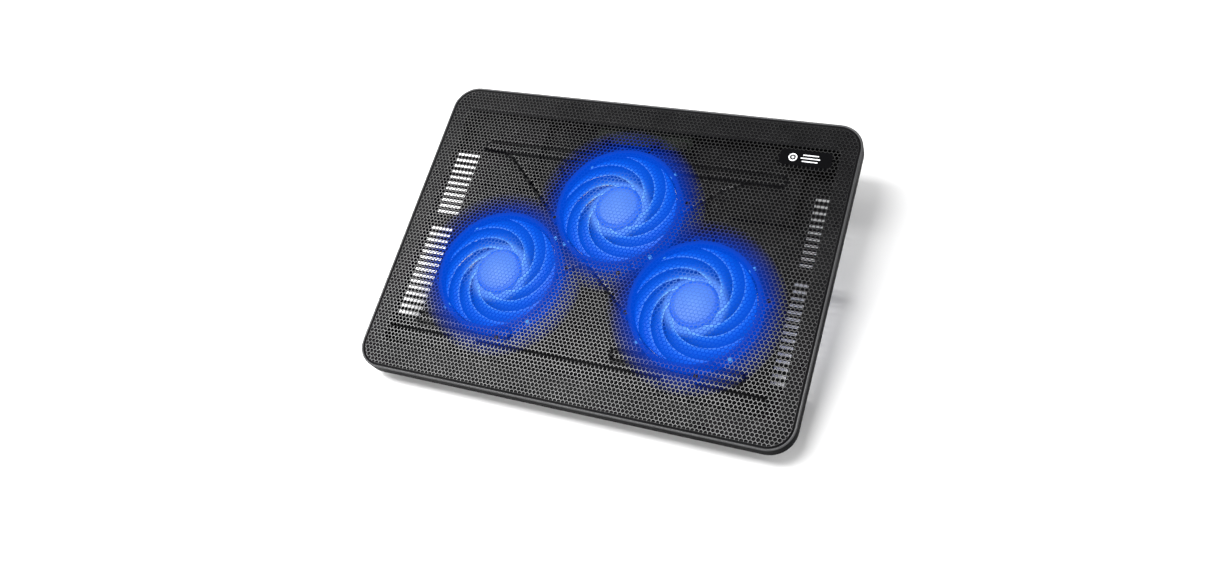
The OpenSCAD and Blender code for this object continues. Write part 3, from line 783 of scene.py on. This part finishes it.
# ---------------------------------------------------------------- impellers
def blade(bm, start):
    """One swept, pitched blade, from hub to tip; across runs from 0 to 1 at the raised edge."""
    layer = bm.verts.layers.float.get("across") or bm.verts.layers.float.new("across")
    made = bmesh.ops.create_grid(bm, x_segments=22, y_segments=8, size=0.5)
    root = HUB_R - 0.6
    for v in made["verts"]:
        along, across = v.co.x + 0.5, v.co.y + 0.5
        radius = root + (BLADE_TIP - 0.3 - root) * along
        chord = math.radians(BLADE_CHORD)
        angle = start + math.radians(BLADE_SWEEP) * along + (across - 0.5) * chord
        lift = (across - 0.5) * (BLADE_PITCH - BLADE_UNTWIST * along)
        lift += BLADE_CAMBER * math.sin(math.pi * across)
        v[layer] = across
        v.co = (radius * math.cos(angle), radius * math.sin(angle), BLADE_MIDDLE + lift)
    faces = list({f for v in made["verts"] for f in v.link_faces})
    bmesh.ops.solidify(bm, geom=faces, thickness=BLADE_THICK)


def impeller(side):
    """The blades and the hub of one fan, both on its rotor."""
    bm = bmesh.new()
    for index in range(BLADES):
        blade(bm, math.tau * index / BLADES)
    bmesh.ops.recalc_face_normals(bm, faces=bm.faces)
    bmesh.ops.translate(bm, verts=bm.verts, vec=(*FANS[side], 0))
    body = "rotor_" + side
    piece(bm, "blades_" + side, "blade", body, ["impeller_" + side], 40.0)

    bm = bmesh.new()
    profile = (
        (0.0, HUB_TOP - 0.05), (15.5, HUB_TOP), (16.4, HUB_TOP - 0.35), (17.3, HUB_TOP - 0.05),
        (HUB_R - 1.4, HUB_TOP - 0.1), (HUB_R - 0.5, HUB_TOP - 0.5), (HUB_R, HUB_TOP - 1.4),
        (HUB_R, -14.2), (HUB_R + 0.8, -14.8), (HUB_R + 5.6, -15.4), (HUB_R + 6.2, -15.8),
        (HUB_R + 5.6, -16.2), (HUB_R, BLADE_LOW), (HUB_R - 1.3, BLADE_LOW),
        (HUB_R - 1.3, HUB_TOP - 1.3), (0.0, HUB_TOP - 1.3),
    )
    chain = [bm.verts.new((radius, 0, z)) for radius, z in profile]
    edges = [bm.edges.new(pair) for pair in zip(chain, chain[1:])]
    bmesh.ops.spin(
        bm, geom=chain + edges, cent=(0, 0, 0), axis=(0, 0, 1), angle=math.tau, steps=64,
        use_merge=True,
    )
    outwards(bm)
    bmesh.ops.translate(bm, verts=bm.verts, vec=(*FANS[side], 0))
    piece(bm, "hub_" + side, "hub", body, ["impeller_" + side], 40.0)


# ---------------------------------------------------------------- carried-over CAD nodes
FINISHES = {
    "tray": ["bottom_shell"],
    "badge": ["badge_plate"],
    "print": ["badge_symbol"],
    "rubber": ["foot_front_left", "foot_front_right", "foot_rear_left", "foot_rear_right",
               "leg_tip_left", "leg_tip_right"],
    "leg": ["leg_left", "leg_right"],
    "steel": ["leg_pin_left", "leg_pin_right"] + ["fan_shaft_" + side for side in SIDES],
    "board": ["hub_board"] + ["fan_board_" + side for side in SIDES],
    "tin": ["usb_socket_left", "usb_socket_right", "switch_body", "board_screws"],
    "tongue": ["usb_tongues"],
    "slider": ["power_slider"],
    "plug": ["lead_plugs"],
    "screw": ["fan_screws", "shell_screws"],
    "fan": ["fan_frame_" + side for side in SIDES],
    "bronze": ["bearing_" + side for side in SIDES],
    "core": ["stator_core_" + side for side in SIDES],
    "copper": ["stator_coils_" + side for side in SIDES],
    "led": ["fan_leds_" + side for side in SIDES],
    "magnet": ["magnet_ring_" + side for side in SIDES],
    "jacket": ["fan_lead_" + side for side in SIDES],
}


def finish_cad_nodes():
    """Gives each CAD node that stays as it is its finish."""
    for finish, names in FINISHES.items():
        for name in names:
            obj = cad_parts[name]
            if not obj.material_slots:
                obj.data.materials.append(None)
            for material_slot in obj.material_slots:
                material_slot.material = MAT[finish]


# ---------------------------------------------------------------- floor
def add_floor():
    """White paper under the pad; part of the stage, not of the object."""
    bm = bmesh.new()
    bmesh.ops.create_grid(bm, x_segments=1, y_segments=1, size=6.0)
    mesh = bpy.data.meshes.new("floor")
    bm.to_mesh(mesh)
    bm.free()
    floor = bpy.data.objects.new("floor", mesh)
    bpy.context.collection.objects.link(floor)
    mesh.materials.append(shader("floor_paper", (0.92, 0.92, 0.92), 0.9)[0])


# ---------------------------------------------------------------- build
add_camera()
add_floor()
finish_cad_nodes()
softened("top_frame", "rim", on_lip, 0.8)
deck_sheet()
deck_hem()
deck_tabs()
for fan_side in SIDES:
    impeller(fan_side)

bpy.context.scene.view_settings.view_transform = "Standard"
add_world(2.05, 0.13)
for panel, eye, aim, size, power in (
    ("front_panel", (-0.36, 0.06, 1.00), (-0.36, -0.05, 0.0), (0.95, 0.34), 17.5),
    ("side_panel", (-0.82, 0.36, 1.00), (-0.82, -0.05, 0.0), (0.36, 0.50), 6.5),
):
    add_area(panel, PAD @ Vector(eye), PAD @ Vector(aim), size, power)
add_area("key", (-0.75, -0.05, 0.52), (0.0, 0.0, 0.05), (0.20, 0.20), 1.2)
